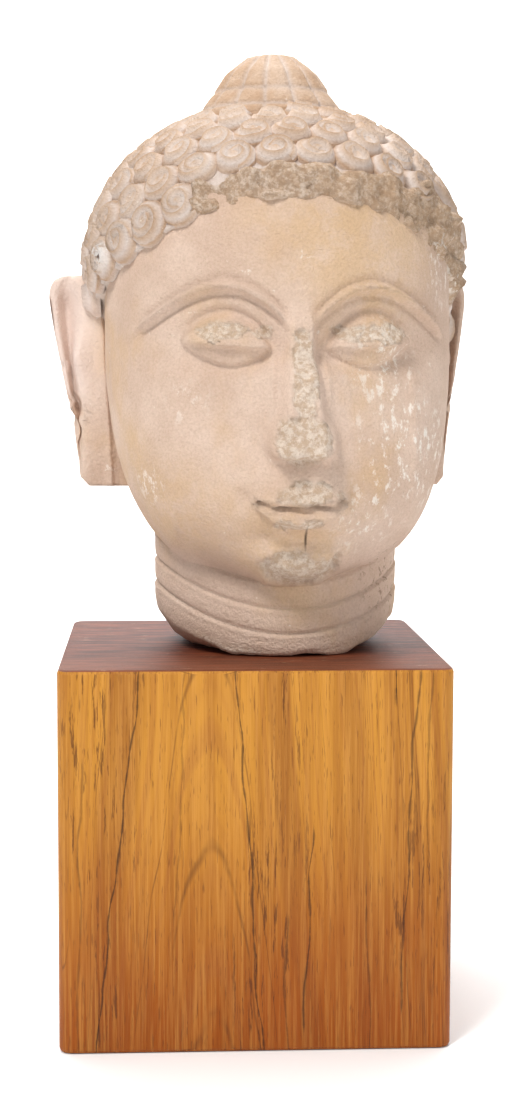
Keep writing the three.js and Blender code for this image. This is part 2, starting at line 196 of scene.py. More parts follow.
def base_relief(side, z):
    """The broad forms of the face: sockets, cheeks, mouth mound and chin."""
    over_eye = rise(EYE - 1.3, EYE - 0.3, z)
    socket = mix(0.5, 0.2, rise(0.9, 4.4, side)) * rise(-0.3, 1.5, brow_arch(side) - z)
    height = -socket * over_eye * (1 - rise(5, 6.2, side))
    height += 0.2 * hump(side - 3.7, 2) * hump(z - NOSE_BASE, 2.4)
    height += 0.36 * hump(side, 2.5) * hump(z - MOUTH, 1.7)
    height -= 0.4 * hump(side, 1.5) * hump(z - MOUTH + 1.4, 0.4)
    height += 0.55 * hump(side, 1.6) * hump(z - MOUTH + 2.45, 0.75)
    return height


def eye_relief(side, z):
    """A half-closed eye, with a rim round its almond and a crease above it."""
    s = (side - EYE_WIDTH) / (0.6 * EYE_WIDTH)
    full = np.clip(1 - s**2, 0, 1)
    middle = EYE + 0.14 * s
    upper = middle + 1.0 * full
    lower = middle - 0.72 * full
    t = np.where(z > middle, (z - middle) / (upper - middle + 1e-6), (middle - z) / (middle - lower + 1e-6))
    inside = full > 0
    dome = 0.6 * np.sqrt(np.clip(1 - t**2, 0, 1)) * full**0.6 * inside
    slit = middle - 0.04 * full
    height = dome - 0.3 * rise(0.05, -0.05, z - slit) * inside * full**0.5
    near = inside * (full**0.4)
    height += 0.22 * hump(z - upper, 0.13) * near + 0.13 * hump(z - lower, 0.12) * near
    height -= 0.16 * hump(z - upper - 0.36, 0.12) * near
    return height


def brow_relief(side, z):
    above = z - brow_arch(side)
    ends = rise(BROW_START - 0.2, BROW_START + 0.4, side) * rise(BROW_END + 0.1, BROW_END - 0.6, side)
    beside = 0.14 * hump(above + 0.3, 0.12) + 0.12 * hump(above - 0.3, 0.12)
    return (0.26 * hump(above, 0.13) - beside) * ends


def nose_relief(side, z):
    """The nose, whose ridge and tip are broken off along a nearly flat face."""
    top = BROW + 0.5
    down = np.clip((top - z) / (top - NOSE_BASE), 0, 1)
    half = mix(0.6, 1.15, down) + 0.55 * hump(down - 0.88, 0.13)
    ridge = np.minimum(mix(0.3, 1.4, down), 0.98)
    wall = rise(0, 0.55, (half - side) / half)
    ends = rise(NOSE_BASE - 0.15, NOSE_BASE + 0.3, z) * rise(top + 0.6, top - 1.2, z)
    wing = 0.16 * hump(side - 0.95, 0.17) * hump(z - NOSE_BASE - 0.75, 0.5)
    return ridge * wall * ends - wing


def mouth_relief(side, z):
    """Full lips that meet in a gently curved line, and the groove above them."""
    s = side / MOUTH_HALF
    full = np.clip(1 - s**2, 0, 1)
    line = MOUTH + 0.24 * s**2
    bow = 1 - 0.3 * hump(side, 0.35)
    up = np.clip((z - line) / (0.88 * full * bow + 1e-6), 0, 1)
    down = np.clip((line - z) / (0.9 * full + 1e-6), 0, 1)
    height = 0.5 * np.sin(np.pi * up**0.75) * full**0.5 * (z > line)
    height += 0.6 * np.sin(np.pi * down**0.7) * full**0.5 * (z <= line)
    height -= 0.16 * hump(side - MOUTH_HALF - 0.1, 0.35) * hump(z - MOUTH - 0.25, 0.35)
    height -= 0.2 * hump(z - line, 0.11) * full**0.4
    under_nose = rise(MOUTH + 0.8, MOUTH + 1.1, z) * rise(NOSE_BASE, NOSE_BASE - 0.3, z)
    height -= 0.07 * hump(side, 0.22) * under_nose
    return height


# Worn and broken places of the face: x, level, half width, half height, depth and roughness.
FACE_BREAKS = (
    (0.0, 8.6, 0.95, 0.95, 0.16, 0.16),
    (0.05, 10.8, 0.42, 1.9, 0.08, 0.12),
    (0.25, MOUTH + 0.5, 0.95, 0.3, 0.14, 0.13),
    (-0.15, MOUTH - 0.62, 0.8, 0.2, 0.08, 0.1),
    (0.15, CHIN + 1.0, 1.5, 0.62, 0.24, 0.15),
    (-EYE_WIDTH, EYE + 0.5, 1.35, 0.3, 0.05, 0.11),
    (EYE_WIDTH, EYE + 0.48, 1.5, 0.36, 0.06, 0.13),
)


def breaks_at(x, z, places):
    """How broken each place is, how deep the break goes, and how rough it is."""
    ragged = 0.18 * fractal(np.stack([x, 0 * x, z], axis=1), 0.6, 3, seed=11)
    broken, depth, rough = 0, 0, 0
    for px, pz, half_x, half_z, deep, roughness in places:
        distance = np.hypot((x - px) / half_x, (z - pz) / half_z) + ragged / min(half_x, half_z, 1)
        here = rise(1.15, 0.9, distance)
        broken = np.maximum(broken, here)
        depth = np.maximum(depth, deep * here)
        rough = np.maximum(rough, roughness * here)
    return broken, depth, rough


def build_face():
    columns, rows = 256, 184
    found = {}

    def point_at(turn, fall):
        front = 2 * ((turn + 0.5) % 1) - 1
        azimuth = np.pi * (0.42 * front + 0.58 * front**5)
        closer = fall + 0.06 * (np.sin(2 * np.pi * (fall - 0.1)) + math.sin(0.2 * np.pi))
        x, y, z = egg_point(azimuth, np.pi * closer)
        level = z + WIDEST
        side = np.abs(x)
        outward = np.stack([x / FACE_WIDTH**2, y / FACE_FRONT**2, z / (1.3 * FACE_DOWN) ** 2], axis=1)
        outward /= np.linalg.norm(outward, axis=1)[:, None]
        facing = rise(-0.1, -0.3, y / FACE_FRONT)
        height = base_relief(side, level) + eye_relief(side, level) + brow_relief(side, level)
        height += nose_relief(side, level) + mouth_relief(side, level)
        broken, depth, rough = breaks_at(x, level, FACE_BREAKS)
        points = np.stack([x, y, level], axis=1)
        lumps = fractal(points, 0.36, 2, seed=3)
        height += facing * (-depth + rough * (0.6 * lumps - 0.4 * np.abs(lumps)))
        height = height * facing + 0.02 * fractal(points, 1.5, 2, seed=5)
        lean = JAW_LEAN * np.clip(-z / FACE_DOWN, 0, 1) ** 1.6
        found["broken"] = broken * facing
        return points + outward * height[:, None] - np.stack([0 * x, lean, 0 * x], axis=1)

    net = closed_net(columns, rows, point_at)
    net.masks["broken"] = found["broken"]
    return net


def leaning(azimuth, angle):
    """A direction given by an azimuth round the skull's leaning pole and an angle from it."""
    level = np.sin(angle)
    return np.stack([level * np.sin(azimuth), -level * np.cos(azimuth), np.cos(angle)], axis=-1)


def skull_point(direction, height):
    x, y, z = np.moveaxis(direction, -1, 0)
    back = y * math.cos(HAIR_LEAN) + z * math.sin(HAIR_LEAN)
    up = z * math.cos(HAIR_LEAN) - y * math.sin(HAIR_LEAN)
    tall = np.where(up > 0, SKULL_UP, SKULL_DOWN)
    return SKULL_CENTRE + np.stack(
        [x * (SKULL_WIDTH + height), back * (SKULL_DEPTH + height), up * (tall + height)], axis=-1
    )


def hair_edge(azimuth):
    around = EDGE_MEAN + EDGE_FRONT * np.cos(azimuth) - EDGE_SIDE * np.cos(2 * azimuth)
    return around - EDGE_EAR * np.sin(azimuth) ** 14


def break_reach(azimuth):
    """How far above the hair edge the broken stretch of the front reaches, in parts."""
    start = math.asin(FRONT_BREAK[0])
    reach = mix(1.25, 2.7, rise(0.3, 1.0, azimuth))
    return reach * rise(start - 0.15, start - 0.07, azimuth) * rise(1.6, 1.45, azimuth)


def build_skull():
    columns, rows, hair_rows = 200, 56, 46
    found = {}

    def point_at(turn, fall):
        front = 2 * (((turn + 0.5) % 1) - 0.5)
        azimuth = np.pi * (0.62 * front + 0.38 * front**3)
        edge = hair_edge(azimuth)
        row = np.round(fall * rows)
        in_hair = row <= hair_rows
        over = np.clip(row / hair_rows, 0, 1)
        below = (row - hair_rows - 1) / (rows - hair_rows - 1)
        angle = np.where(in_hair, edge * over**0.45, mix(edge + 0.02, np.pi, below))
        direction = leaning(azimuth, angle)
        above = (edge - angle) * SKULL_DEPTH
        ragged = 0.3 * fractal(direction * SKULL_DEPTH, 1.3, 3, seed=21) + 0.3 * np.abs(np.sin(15 * azimuth))
        reach = break_reach(azimuth)
        broken = rise(0.12, -0.12, above - reach - ragged) * (reach > 0.05) * in_hair
        slope = mix(-0.02, 0.5, np.clip(above / (reach + 0.01), 0, 1) ** 0.8)
        rough = fractal(direction * SKULL_DEPTH, 0.55, 3, seed=31)
        chips = np.abs(fractal(direction * SKULL_DEPTH, 1.1, 2, seed=33))
        height = np.where(in_hair, broken * (slope + 0.28 * rough - 0.3 * chips), -HAIR_DEPTH)
        found["broken"] = broken
        found["groove"] = in_hair * (1 - broken)
        return skull_point(direction, height)

    net = closed_net(columns, rows, point_at)
    net.masks["broken"] = found["broken"]
    net.masks["groove"] = found["groove"]
    net.masks["hair"] = np.maximum(found["broken"], found["groove"])
    return net


def curl_row(distance, pitch, shift):
    """Azimuths and angles of the curls in the row that runs a distance above the hair edge."""
    samples = 360
    azimuth = np.linspace(-np.pi, np.pi, samples + 1)
    angle = hair_edge(azimuth)
    climbed = np.zeros(samples + 1)
    step = math.radians(0.25)
    last = skull_point(leaning(azimuth, angle), 0)
    for _ in range(round(math.radians(110) / step)):
        lower = np.where(climbed < distance, angle - step, angle)
        point = skull_point(leaning(azimuth, lower), 0)
        climbed += np.linalg.norm(point - last, axis=-1)
        angle, last = lower, point
    if (climbed < distance).any() or (angle < step).any():
        return np.empty((0, 2))
    along = np.concatenate([[0], np.cumsum(np.linalg.norm(np.diff(last, axis=0), axis=1))])
    count = round(along[-1] / pitch)
    at = (np.arange(count) + shift) / count * along[-1]
    return np.stack([np.interp(at, along, azimuth), np.interp(at, along, angle)], axis=1)


def curl_places():
    """Every whole curl of the hair: azimuth and angle from the leaning pole, and its width."""
    places = []
    distance = 0
    for row in range(CURL_ROWS):
        pitch = mix(FIRST_PITCH, LAST_PITCH, min(1, row / 6))
        distance += ROW_SHARE * pitch
        for azimuth, angle in curl_row(distance - 0.5 * ROW_SHARE * pitch, pitch, 0.5 if row % 2 else 0):
            direction = leaning(azimuth, angle)
            if row < 2:
                start, end, back = (FRONT_BREAK, UPPER_BREAK)[row]
                if start < direction[0] < end and direction[1] < back:
                    continue
            x, y, _ = skull_point(direction, 0)
            if math.hypot(x - KNOB_SHIFT[0], y - KNOB_SHIFT[1]) < KNOB_RADIUS - 0.1 and angle < 1.5:
                continue
            places.append((azimuth, angle, pitch))
    places += [(azimuth, 0.16, LAST_PITCH) for azimuth in np.arange(6) * np.pi / 3]
    places.append((0, 0.01, LAST_PITCH))
    return places


def skull_frame(azimuth, angle):
    """The skull's place, outward direction, and directions across and up at a point of it."""
    small = 0.01
    place = skull_point(leaning(azimuth, angle), 0)
    across = skull_point(leaning(azimuth + small, angle), 0) - place
    up = skull_point(leaning(azimuth, angle - small), 0) - place
    across /= np.linalg.norm(across)
    outward = np.cross(across, up)
    outward /= np.linalg.norm(outward)
    return place, outward, across, np.cross(outward, across)


def snail(radius, height, depth, start, turns=2.6, steps=14):
    """One snail curl as a low dome with a spiral groove, on its own level ground."""
    count = round(turns * steps)
    k = np.arange(count + 1)
    spin = start + 2 * np.pi * k / steps
    groove = radius * (1 - k / (count + 0.4 * steps))
    crest_k = k[: count + 1 - steps]
    crest = (groove[crest_k] + groove[crest_k + steps]) / 2
    swell = np.clip(np.minimum(crest_k / 3, (crest_k[-1] - crest_k) / 3), 0, 1)
    ring_spin = start + 2 * np.pi * np.arange(steps) / steps

    def dome(r):
        return height * np.sqrt(np.clip(1 - 0.75 * (r / radius) ** 3, 0, 1))

    def ring(r, angle, z):
        return np.stack([r * np.cos(angle), r * np.sin(angle), z * np.ones_like(angle)], axis=1)

    points = np.concatenate([
        ring(groove, spin, dome(groove) - depth),
        ring(crest, spin[crest_k], dome(crest) + depth * (1.3 * swell - 1)),
        ring(radius * np.ones(steps), ring_spin, dome(radius) - depth),
        ring(1.03 * radius * np.ones(steps), ring_spin, -0.25),
        [[0, 0, dome(0) - 0.2 * depth]],
    ])
    first_crest = count + 1
    last_crest = count + len(crest_k)
    outer = last_crest + 1
    foot = outer + steps
    middle = foot + steps
    faces = []
    for i in range(len(crest_k) - 1):
        c = first_crest + i
        faces.append((i, i + 1, c + 1, c))
        faces.append((c, c + 1, i + steps + 1, i + steps))
    for i in range(steps):
        after = (i + 1) % steps
        faces.append((foot + i, foot + after, outer + after, outer + i))
        if i:
            faces.append((outer + i, outer + after, i + 1, i))
    faces.append((outer, outer + 1, 1, 0))
    faces.append((0, first_crest, steps, outer))
    inner = count - steps
    faces.append((last_crest, inner, inner + 1, middle, count))
    for i in range(inner + 1, count):
        faces.append((i, i + 1, middle))
    grooved = np.zeros(len(points))
    grooved[: count + 1] = 1
    grooved[foot:middle] = 1
    return points, faces, grooved


def build_curls():
    skins = []
    for azimuth, angle, pitch in curl_places():
        place, outward, across, up = skull_frame(azimuth, angle)
        wear = 0.5 + 0.5 * noise(place[None], 3.5, seed=41)[0]
        radius = 0.575 * pitch * rng.uniform(0.97, 1.03)
        height = CURL_HEIGHT * rng.uniform(0.85, 0.97)
        depth = mix(0.21, 0.12, wear)
        points, faces, grooved = snail(radius, height, depth, rng.uniform(0, 2 * np.pi))
        tilt = rng.normal(0, 0.04, 2)
        points[:, 2] += points[:, 0] * tilt[0] + points[:, 1] * tilt[1]
        world = place + points @ np.stack([across, up, outward])
        world += 0.02 * fractal(world, 0.5, 2, seed=43)[:, None] * outward
        skins.append(Skin(world, faces, hair=1, groove=grooved))
    return skins


def build_knob():
    base = CROWN - 1.6
    top = 24.0
    profile = np.array([
        (0, base), (1.02, base), (1.0, CROWN - 0.45), (0.8, CROWN + 0.35),
        (0.62, CROWN + 1.2), (0.33, top - 0.2), (0, top),
    ])
    columns, rows = KNOB_LOCKS * 10, 46
    found = {}

    def point_at(turn, fall):
        down = 1 - fall
        along = down * (len(profile) - 1)
        radius = KNOB_RADIUS * np.interp(along, np.arange(len(profile)), profile[:, 0])
        level = np.interp(along, np.arange(len(profile)), profile[:, 1])
        lock = (turn * KNOB_LOCKS) % 1
        edge = np.minimum(lock, 1 - lock) * 2 * np.pi * radius / KNOB_LOCKS
        split = hump(edge, 0.09) * rise(0.3, 0.9, radius)
        band = hump(level - CROWN - 0.42, 0.06) + hump(level - CROWN + 0.25, 0.06)
        cut = 0.15 * split + 0.11 * band * rise(0.5, 1.5, radius)
        cut = cut - 0.05 * rise(0, 0.35, edge) * rise(0.3, 0.9, radius)
        found["groove"] = np.clip(split + band, 0, 1)
        angle = 2 * np.pi * (turn + 0.5 / KNOB_LOCKS)
        reach = radius - cut
        points = np.stack([reach * np.sin(-angle), reach * np.cos(angle), level], axis=1)
        points[:, :2] += KNOB_SHIFT
        return points + 0.03 * fractal(points, 0.7, 3, seed=51)[:, None] * (fall > 0)[:, None]

    net = closed_net(columns, rows, point_at, hair=1)
    net.masks["groove"] = 0.7 * found["groove"]
    return net


def fold_bulge(level):
    bulge = np.zeros_like(level)
    for low, high in zip(FOLD_LEVELS, FOLD_LEVELS[1:]):
        t = np.clip((level - low) / (high - low), 0, 1)
        bulge = bulge + FOLD_BULGE * (4 * t * (1 - t)) ** 0.5
    for level_cut in FOLD_LEVELS[1:]:
        bulge = bulge - 0.09 * hump(level - level_cut, 0.06) + 0.05 * hump(level - level_cut + 0.13, 0.07)
    return bulge


def fold_lift(azimuth):
    return FOLD_DIP * (0.72 * np.sin(azimuth) ** 2 + 0.2 * (1 - np.cos(azimuth)))


def build_neck():
    columns, rows, stump_rows = 140, 54, 9
    found = {}

    def point_at(turn, fall):
        azimuth = 2 * np.pi * (((turn + 0.5) % 1) - 0.5)
        row = np.round((1 - fall) * rows)
        stump = row < stump_rows
        share = np.where(stump, row / stump_rows, 1)
        climb = np.clip((row - stump_rows) / (rows - stump_rows), 0, 1)
        above = np.interp(climb, [0, 0.8, 1], [0, FOLD_LEVELS[-1] + 0.3, NECK_TOP - FOLD_DIP])
        lift = fold_lift(azimuth)
        low_rim = np.maximum(0, lift - RIM_DROP)
        rim = low_rim * rise(0.3, 0, above) + lift * (1 - rise(0.3, 0, above))
        edge = np.clip((share - STUMP_SHARE) / (1 - STUMP_SHARE), 0, 1)
        level = np.where(stump, low_rim * edge**2, above + rim)
        bulge = np.where(stump, 0, fold_bulge(above))
        x = (share * NECK_WIDTH + bulge) * np.sin(azimuth)
        y = -(share * NECK_DEPTH + bulge) * np.cos(azimuth)
        points = np.stack([x, y, level], axis=1)
        chips = rise(-0.1, 0.5, fractal(points, 2.2, 2, seed=63))
        broken = rise(STUMP_SHARE - 0.05, STUMP_SHARE + 0.05, share) * rise(0.3, 0.05, above)
        rough = fractal(points, 0.6, 3, seed=61)
        points[:, 2] += 0.06 * broken * (1 + rough) * (fall < 1)
        points[:, :2] *= (1 - broken * (0.008 + 0.012 * chips + 0.005 * rough))[:, None]
        points[fall == 0] = (0, 0, NECK_TOP)
        found["broken"] = 0.6 * broken * chips
        return points

    net = closed_net(columns, rows, point_at)
    net.masks["broken"] = found["broken"]
    return net


def ear_section(ear, level):
    """The level section of an ear, from the cheek round its rim and back behind it."""
    rim_x, lobe_x, strip_x = ear
    down = (EAR_TOP - level) / (EAR_TOP - EAR_BOTTOM)
    rounding = math.sqrt(max(0, 1 - (1 - min(1, down / 0.12)) ** 2))
    reach = mix(rim_x, lobe_x, rise(0.02, 0.96, down) * 0.5 + 0.5 * down)
    rim = mix(strip_x, reach, mix(0.55, 1, rounding))
    hollow = EAR_HOLLOW * rise(0, 0.16, down) * rise(0.92, 0.6, down)
    strip = EAR_STRIP_Y + 0.35 * (1 - rounding)
    ridge = strip_x - mix(0.85, 1.35, down)
    return np.array([
        (EAR_ROOT, strip),
        (ridge, strip),
        (ridge + 0.16, strip - 0.2),
        (ridge + 0.4, strip),
        (strip_x + 0.06, strip + 0.6 * hollow),
        (mix(strip_x, rim, 0.45), EAR_RIM_Y + hollow),
        (mix(strip_x, rim, 0.78), EAR_RIM_Y),
        (rim, EAR_RIM_Y + 0.15),
        (rim, EAR_RIM_Y + 0.6),
        (mix(strip_x, rim, 0.6), EAR_RIM_Y + 0.75 + hollow),
        (strip_x, EAR_RIM_Y + 1.3),
        (EAR_ROOT, EAR_RIM_Y + 1.7),
    ])


def rounded(outline, times):
    """Cuts the corners of a closed outline, over and over, until it is smooth."""
    for _ in range(times):
        after = np.roll(outline, -1, axis=0)
        outline = np.stack([mix(outline, after, 0.2), mix(outline, after, 0.8)], axis=1).reshape(-1, 2)
    return outline


def build_ear(side, ear):
    rows, times = 60, 2
    columns = 12 * 2**times

    def point_at(turn, fall):
        points = np.zeros((len(turn), 3))
        column = np.round(turn * columns).astype(int)
        for row in np.unique(np.round(fall * rows)):
            here = np.round(fall * rows) == row
            level = mix(EAR_TOP, EAR_BOTTOM, np.clip((row - 1) / (rows - 2), 0, 1))
            section = rounded(ear_section(ear, level), times)
            if row in (0, rows):
                points[here] = (EAR_ROOT, EAR_RIM_Y + 0.3, level)
            else:
                points[here, :2] = section[column[here]]
                points[here, 2] = level
        across, deep, level = points.T
        _, lobe_x, strip_x = ear
        front = rise(EAR_RIM_Y + 0.9, EAR_RIM_Y + 0.4, deep) * rise(strip_x - 0.45, strip_x - 0.2, across)
        crescent = 9.1 + 0.45 * ((across - strip_x - 0.05) / 0.38) ** 2
        flap = hump(level - 11.7, 0.8) * hump(across - strip_x + 0.05, 0.3)
        raised = 0.24 * hump(level - crescent, 0.13) - 0.16 * hump(level - crescent - 0.3, 0.15)
        points[:, 1] -= front * (raised + 0.35 * flap)
        points[:, 0] += 0.28 * front * flap
        corner = rise(EAR_BOTTOM + 0.45, EAR_BOTTOM, level) ** 2
        points[:, 0] -= 0.3 * corner * rise(lobe_x - 0.7, lobe_x, across)
        outer = rise(lobe_x - 0.1, lobe_x + 0.2, across) * (level < 11.5)
        worn = rise(0.1, 0.6, fractal(points, 0.8, 2, seed=73)) * outer
        points[:, 0] -= 0.18 * worn
        points[:, 1] += 0.04 * fractal(points, 0.9, 3, seed=71)
        points[:, 0] *= side
        return points

    net = closed_net(columns, rows, point_at)
    if side < 0:
        net.faces = [face[::-1] for face in net.faces]
    return net


def mesh_object(name, skins, to_frame):
    """One Blender object of several skins, taken from parts to metres in the frame."""
    points = np.concatenate([skin.points for skin in skins])
    faces, first = [], 0
    for skin in skins:
        faces.extend(tuple(first + i for i in face) for face in skin.faces)
        first += len(skin.points)
    mesh = bpy.data.meshes.new(name)
    mesh.from_pydata(to_frame(points).tolist(), [], faces)
    for mask in Skin.MASKS:
        values = np.concatenate([skin.masks[mask] for skin in skins])
        mesh.attributes.new(mask, "FLOAT", "POINT").data.foreach_set("value", values.astype(np.float32))
    mesh.polygons.foreach_set("use_smooth", [True] * len(mesh.polygons))
    mesh.update()
    made = bpy.data.objects.new(name, mesh)
    bpy.context.collection.objects.link(made)
    return made


def head_to_frame(points):
    turned = points * P
    c, s = math.cos(HEAD_TURN), math.sin(HEAD_TURN)
    x, y, z = turned.T
    return (np.stack([c * x - s * y, s * x + c * y, z], axis=1) + HEAD_SHIFT) * MM


def build_head():
    skins = [build_face(), build_skull(), build_neck(), build_knob()]
    skins += [build_ear(-1, WHOLE_EAR), build_ear(1, CHIPPED_EAR), *build_curls()]
    head = mesh_object("carved_head", skins, head_to_frame)
    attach(head, "root")
    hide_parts("stone_head")
    return head


def srgb(red, green, blue):
    """A screen colour from 0 to 255 as a linear colour."""
    values = np.array([red, green, blue]) / 255
    linear = np.where(values <= 0.04045, values / 12.92, ((values + 0.055) / 1.055) ** 2.4)
    return (*linear, 1)


class Finish:
    """A procedural material, built node by node."""

    def __init__(self, name, roughness, specular):
        self.material = bpy.data.materials.new(name)
        self.material.use_nodes = True
        self.tree = self.material.node_tree
        self.shader = self.tree.nodes["Principled BSDF"]
        self.shader.inputs["Roughness"].default_value = roughness
        self.shader.inputs["Specular IOR Level"].default_value = specular
        self.place = self.node("TexCoord").outputs["Object"]

    def node(self, kind, inputs=None, **settings):
        made = self.tree.nodes.new("ShaderNode" + kind)
        for key, value in settings.items():
            setattr(made, key, value)
        for key, value in (inputs or {}).items():
            self.join(value, made.inputs[key])
        return made

    def join(self, value, socket):
        if isinstance(value, bpy.types.NodeSocket):
            self.tree.links.new(value, socket)
        else:
            socket.default_value = value

    def noise(self, size, detail=4, place=None, roughness=0.6):
        inputs = {"Vector": place or self.place, "Scale": 1 / size, "Detail": detail}
        inputs["Roughness"] = roughness
        return self.node("TexNoise", inputs).outputs["Fac"]

    def line_noise(self, along, scale, detail):
        inputs = {"W": along, "Scale": scale, "Detail": detail}
        return self.node("TexNoise", inputs, noise_dimensions="1D").outputs["Fac"]

    def stretched(self, x, y, z):
        return self.node("Mapping", {"Vector": self.place, "Scale": (x, y, z)}).outputs["Vector"]

    def ramp(self, value, low, high, to_low=0.0, to_high=1.0):
        inputs = {"Value": value, "From Min": low, "From Max": high, "To Min": to_low, "To Max": to_high}
        made = self.node("MapRange", inputs, interpolation_type="SMOOTHSTEP", clamp=True)
        return made.outputs["Result"]

    def mix(self, factor, a, b, blend="MIX"):
        made = self.node("Mix", data_type="RGBA", blend_type=blend)
        for socket, value in zip((made.inputs[0], made.inputs[6], made.inputs[7]), (factor, a, b)):
            self.join(value, socket)
        return made.outputs[2]

    def math(self, operation, a, b=0.0):
        return self.node("Math", {0: a, 1: b}, operation=operation).outputs[0]

    def times(self, a, b):
        return self.math("MULTIPLY", a, b)

    def spot(self, centre, radius, scale=(1, 1, 1)):
        """1 at a place and 0 beyond a radius of it, longer along an axis whose scale is small."""
        middle = tuple(a * b for a, b in zip(centre, scale))
        inputs = {0: self.stretched(*scale), 1: middle}
        away = self.node("VectorMath", inputs, operation="DISTANCE").outputs["Value"]
        return self.ramp(away, radius, 0.3 * radius)

    def mask(self, name):
        return self.node("Attribute", attribute_name=name).outputs["Fac"]

    def finish(self, colour, bump, distance, strength=1.0):
        self.join(colour, self.shader.inputs["Base Color"])
        inputs = {"Height": bump, "Distance": distance, "Strength": strength}
        self.join(self.node("Bump", inputs).outputs["Normal"], self.shader.inputs["Normal"])
        return self.material


# White deposits on the skin: the middle and radius of each patch.
LIME_PATCHES = (
    ((0.088, -0.055, 0.3), 0.045),
    ((0.07, -0.08, 0.35), 0.032),
    ((-0.04, -0.09, 0.33), 0.024),
    ((0.062, -0.08, 0.268), 0.03),
    ((-0.06, -0.06, 0.285), 0.02),
    ((0.1, -0.035, 0.4), 0.03),
    ((0.075, -0.075, 0.31), 0.04),
    ((0.113, -0.005, 0.39), 0.014),
)


# Ochre stains on the skin: the middle and radius of each patch.
OCHRE_PATCHES = (
    ((0.065, -0.08, 0.41), 0.06),
    ((0.03, -0.09, 0.43), 0.06),
    ((0.065, -0.09, 0.375), 0.03),
    ((-0.03, -0.09, 0.372), 0.025),
    ((-0.045, -0.07, 0.27), 0.045),
    ((0.015, -0.09, 0.25), 0.05),
    ((-0.07, -0.05, 0.3), 0.03),
    ((0.02, -0.05, 0.225), 0.025),
)


# Single marks on the stone, with painted shade at the temple and painted light on the ear: the middle of
# each, in metres.
BROW_SCRATCHES = (0.015, -0.09, 0.425)
NECK_STAINS = (0.08, -0.03, 0.235)
TEMPLE_CHIP_AND_HOLE_SHADE = (-0.081, -0.03, 0.405)
PAINTED_LIGHT_EAR = (-0.1, 0.012, 0.365)
LOBE_CHIP = (0.1066, -0.008, 0.292)
OLIVE_BREAK = (0.1, -0.04, 0.41)


def skin_colour(f):
    """Beige-pink sandstone, with warmer patches and ochre stains."""
    colour = f.mix(f.ramp(f.noise(0.05, 5), 0.35, 0.68), srgb(204, 177, 158), srgb(220, 196, 179))
    warm = f.ramp(f.noise(0.06, 4, f.stretched(1, 1, 0.7)), 0.5, 0.7, 0.0, 0.7)
    colour = f.mix(warm, colour, srgb(210, 176, 138))
    stained = f.ramp(f.noise(0.02, 5, roughness=0.7), 0.36, 0.6, 0.2, 0.65)
    for centre, radius in OCHRE_PATCHES:
        colour = f.mix(f.times(f.spot(centre, radius), stained), colour, srgb(208, 175, 137))
    return colour


def hair_colour(f, colour, hair):
    """The skin's colour, turned to worn brown where the hair is, with pale dust in its grooves."""
    worn = f.mix(f.ramp(f.noise(0.025, 5), 0.38, 0.64), srgb(188, 157, 130), srgb(207, 182, 161))
    colour = f.mix(hair, colour, worn)
    pale = f.times(f.mask("groove"), f.ramp(f.noise(0.03, 3), 0.3, 0.6, 0.55, 0.95))
    return f.mix(pale, colour, srgb(212, 200, 193))


def break_colour(f, colour, hair, broken):
    """Pale crumbs on the breaks, and brown mottling where the front curls are broken off."""
    crumbs = f.ramp(f.noise(0.0035, 5, roughness=0.75), 0.42, 0.58)
    fresh = f.mix(crumbs, srgb(207, 181, 155), srgb(238, 223, 207))
    colour = f.mix(f.times(broken, f.ramp(hair, 0, 1, 0.8, 0.5)), colour, fresh)
    band = f.times(broken, hair)
    olive = f.ramp(f.noise(0.005, 5, roughness=0.75), 0.36, 0.56, 0.1, 0.35)
    olive = f.times(f.times(band, f.spot(OLIVE_BREAK, 0.11)), olive)
    colour = f.mix(olive, colour, srgb(172, 140, 104))
    speckle = f.ramp(f.noise(0.0028, 4, roughness=0.7), 0.4, 0.6, 0.0, 0.6)
    return f.mix(f.times(band, speckle), colour, srgb(160, 130, 102))


def deposits(f, colour):
    """Fine dark grains, pale flakes and patches of lime."""
    colour = f.mix(f.ramp(f.noise(0.0013, 2), 0.35, 0.7, 0.0, 0.2), colour, srgb(160, 130, 105))
    flakes = f.ramp(f.noise(0.008, 6, roughness=0.75), 0.65, 0.7, 0.0, 0.6)
    colour = f.mix(flakes, colour, srgb(238, 230, 220))
    lime = f.ramp(f.noise(0.0045, 6, f.stretched(1, 1, 0.6), roughness=0.75), 0.53, 0.61, 0.0, 0.75)
    for centre, radius in LIME_PATCHES:
        colour = f.mix(f.times(f.spot(centre, radius), lime), colour, srgb(240, 232, 222))
    return colour


def single_marks(f, colour):
    """Scratches on the brow, stains on the neck, chips with painted shade in the temple hole, painted light
    in the left ear's hollow and the crack under the lip.
    """
    scratch = f.ramp(f.noise(0.003, 3, f.stretched(0.14, 1, 1.6)), 0.7, 0.76, 0.0, 0.5)
    colour = f.mix(f.times(scratch, f.spot(BROW_SCRATCHES, 0.07)), colour, srgb(150, 118, 94))
    stain = f.ramp(f.noise(0.004, 5, roughness=0.7), 0.56, 0.62, 0.0, 0.6)
    colour = f.mix(f.times(stain, f.spot(NECK_STAINS, 0.04)), colour, srgb(120, 94, 70))
    ragged = f.ramp(f.noise(0.004, 4), 0.38, 0.56)
    colour = f.mix(f.times(f.spot(TEMPLE_CHIP_AND_HOLE_SHADE, 0.011), ragged), colour, srgb(236, 230, 226))
    # Painted shade: a small dark spot in the temple chip stands for the shadow inside its hole.
    colour = f.mix(f.spot(TEMPLE_CHIP_AND_HOLE_SHADE, 0.0028), colour, srgb(84, 64, 54))
    # Painted light: a pale pink patch lifts the shade in the hollow of the left ear.
    pale = f.times(f.spot(PAINTED_LIGHT_EAR, 0.03, (1, 0.6, 0.45)), 0.75)
    colour = f.mix(pale, colour, srgb(240, 220, 210))
    colour = f.mix(f.times(f.spot(LOBE_CHIP, 0.007), ragged), colour, srgb(240, 236, 230))
    crack = tuple(head_to_frame(np.array([[0.1, -9.0, MOUTH - 1.35]]))[0])
    return f.mix(f.spot(crack, 0.0012, (1, 0.02, 0.13)), colour, srgb(52, 34, 26))


